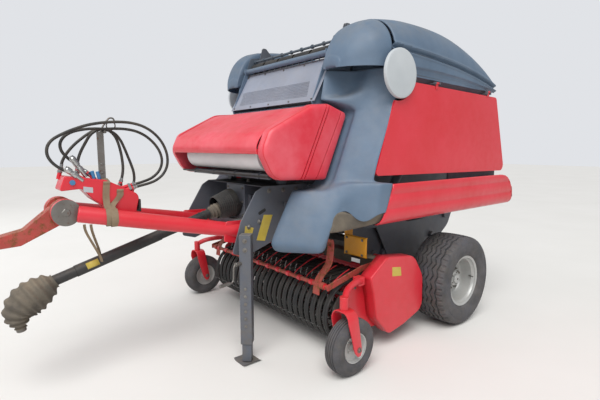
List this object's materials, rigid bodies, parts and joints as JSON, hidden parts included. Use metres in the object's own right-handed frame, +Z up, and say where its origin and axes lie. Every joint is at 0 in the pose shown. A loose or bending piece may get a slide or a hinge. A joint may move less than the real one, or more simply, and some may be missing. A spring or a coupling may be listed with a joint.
{
  "type": "round baler",
  "caption": "Trailed belt round baler with a tined lifting pick-up, swinging tailgate, moulded side shells, net wrap box, drawbar and parking jack.",
  "frame": {"origin": "on the floor midway between the two road wheels, straight below the axle line", "axes": "+X to the machine's left side, +Y to its tailgate end, +Z up"},
  "size_m": [2.5306, 4.6849, 2.738],
  "materials": {
    "bare_steel": "worn",
    "belt_rubber": "matt",
    "black_plastic": "matt",
    "grey_paint": "satin",
    "net_white": "matt",
    "pale_disc": "satin",
    "red_paint": "satin",
    "rusty_red": "worn",
    "silver_paint": "satin",
    "slate_plastic": "matt",
    "tyre_rubber": "matt",
    "yellow_paint": "worn"
  },
  "bodies": {
    "root": {"axle": "grey_paint", "front_walls": "grey_paint", "front_drums": "bare_steel", "front_frame": "grey_paint", "drawbar": "red_paint", "tow_bar": "rusty_red", "gearbox": "grey_paint", "pto_guard": "black_plastic", "pto_shaft": "black_plastic", "hose_console": "red_paint", "hose_a": "black_plastic", "hose_b": "black_plastic", "hose_c": "black_plastic", "hose_d": "black_plastic", "jack_tube": "grey_paint", "mouldings": "slate_plastic", "hoods_front": "slate_plastic", "front_panel": "grey_paint", "net_box": "red_paint", "net_roll": "net_white", "guard_plate": "yellow_paint"},
    "jack": {"jack_leg": "grey_paint"},
    "lid": {"net_lid": "red_paint"},
    "tailgate": {"tail_frame": "grey_paint", "tail_rollers": "bare_steel", "belts": "belt_rubber", "hoods_rear": "slate_plastic", "skirts": "red_paint", "discs": "pale_disc"},
    "side_door_left": {"door_left": "red_paint"},
    "side_door_right": {"door_right": "red_paint"},
    "barrel_left": {"ram_barrel_left": "grey_paint"},
    "barrel_right": {"ram_barrel_right": "grey_paint"},
    "rod_left": {"ram_rod_left": "bare_steel"},
    "rod_right": {"ram_rod_right": "bare_steel"},
    "wheel_left": {"tyre_left": "tyre_rubber", "rim_left": "silver_paint"},
    "wheel_right": {"tyre_right": "tyre_rubber", "rim_right": "silver_paint"},
    "pickup": {"pickup_frame": "red_paint", "bands": "black_plastic"},
    "tine_reel": {"reel": "bare_steel"},
    "guard": {"wind_guard": "rusty_red"},
    "castor_left": {"fork_left": "red_paint"},
    "castor_right": {"fork_right": "red_paint"},
    "gauge_left": {"gauge_wheel_left": "tyre_rubber"},
    "gauge_right": {"gauge_wheel_right": "tyre_rubber"}
  },
  "joints": [
    {"name": "tailgate_hinge", "type": "hinge", "parent": "root", "child": "tailgate", "pos_m": [0, -0.985, 2.7], "axis": [1, 0, 0], "range_deg": [0, 60]},
    {"name": "door_left_hinge", "type": "hinge", "parent": "tailgate", "child": "side_door_left", "pos_m": [1.125, 0, 2.224], "axis": [0, -1, 0], "range_deg": [0, 70]},
    {"name": "door_right_hinge", "type": "hinge", "parent": "tailgate", "child": "side_door_right", "pos_m": [-1.125, 0, 2.224], "axis": [0, 1, 0], "range_deg": [0, 70]},
    {"name": "lid_hinge", "type": "hinge", "parent": "root", "child": "lid", "pos_m": [0, -1.4, 1.985], "axis": [-1, 0, 0], "range_deg": [0, 80]},
    {"name": "wheel_left_spin", "type": "hinge", "parent": "root", "child": "wheel_left", "pos_m": [1.08, 0, 0.425], "axis": [1, 0, 0], "continuous": true},
    {"name": "wheel_right_spin", "type": "hinge", "parent": "root", "child": "wheel_right", "pos_m": [-1.08, 0, 0.425], "axis": [1, 0, 0], "continuous": true},
    {"name": "pickup_lift", "type": "hinge", "parent": "root", "child": "pickup", "pos_m": [0, -0.6, 0.64], "axis": [-1, 0, 0], "range_deg": [0, 14]},
    {"name": "reel_spin", "type": "hinge", "parent": "pickup", "child": "tine_reel", "pos_m": [0, -1.22, 0.33], "axis": [1, 0, 0], "continuous": true},
    {"name": "guard_lift", "type": "hinge", "parent": "pickup", "child": "guard", "pos_m": [0, -0.86, 0.7], "axis": [-1, 0, 0], "range_deg": [0, 10]},
    {"name": "castor_left_swivel", "type": "hinge", "parent": "pickup", "child": "castor_left", "pos_m": [1.174, -1.554, 0.55], "axis": [0, 0, 1], "range_deg": [-20, 20]},
    {"name": "castor_right_swivel", "type": "hinge", "parent": "pickup", "child": "castor_right", "pos_m": [-1.174, -1.554, 0.55], "axis": [0, 0, 1], "range_deg": [-20, 20]},
    {"name": "gauge_left_spin", "type": "hinge", "parent": "castor_left", "child": "gauge_left", "pos_m": [1.174, -1.486, 0.217], "axis": [1, 0, 0], "continuous": true},
    {"name": "gauge_right_spin", "type": "hinge", "parent": "castor_right", "child": "gauge_right", "pos_m": [-1.174, -1.486, 0.217], "axis": [1, 0, 0], "continuous": true},
    {"name": "jack_slide", "type": "slide", "parent": "root", "child": "jack", "axis": [0, 0, 1], "range_m": [0, 0.135]},
    {"name": "ram_left_hinge", "type": "hinge", "parent": "root", "child": "barrel_left", "pos_m": [0.72, -0.704, 1.014], "axis": [1, 0, 0], "range_deg": [0, 30]},
    {"name": "ram_left_slide", "type": "slide", "parent": "barrel_left", "child": "rod_left", "axis": [0, 0.6339, 0.7734], "range_m": [0, 1.17]},
    {"name": "ram_right_hinge", "type": "hinge", "parent": "root", "child": "barrel_right", "pos_m": [-0.72, -0.704, 1.014], "axis": [1, 0, 0], "range_deg": [0, 30]},
    {"name": "ram_right_slide", "type": "slide", "parent": "barrel_right", "child": "rod_right", "axis": [0, 0.6339, 0.7734], "range_m": [0, 1.17]}
  ],
  "couplings": [
    {"joint": "ram_left_hinge", "follows": "tailgate_hinge", "ratio": 0.3466},
    {"joint": "ram_left_slide", "follows": "tailgate_hinge", "m_per_rad": 1.1122},
    {"joint": "ram_right_hinge", "follows": "tailgate_hinge", "ratio": 0.3466},
    {"joint": "ram_right_slide", "follows": "tailgate_hinge", "m_per_rad": 1.1122}
  ]
}
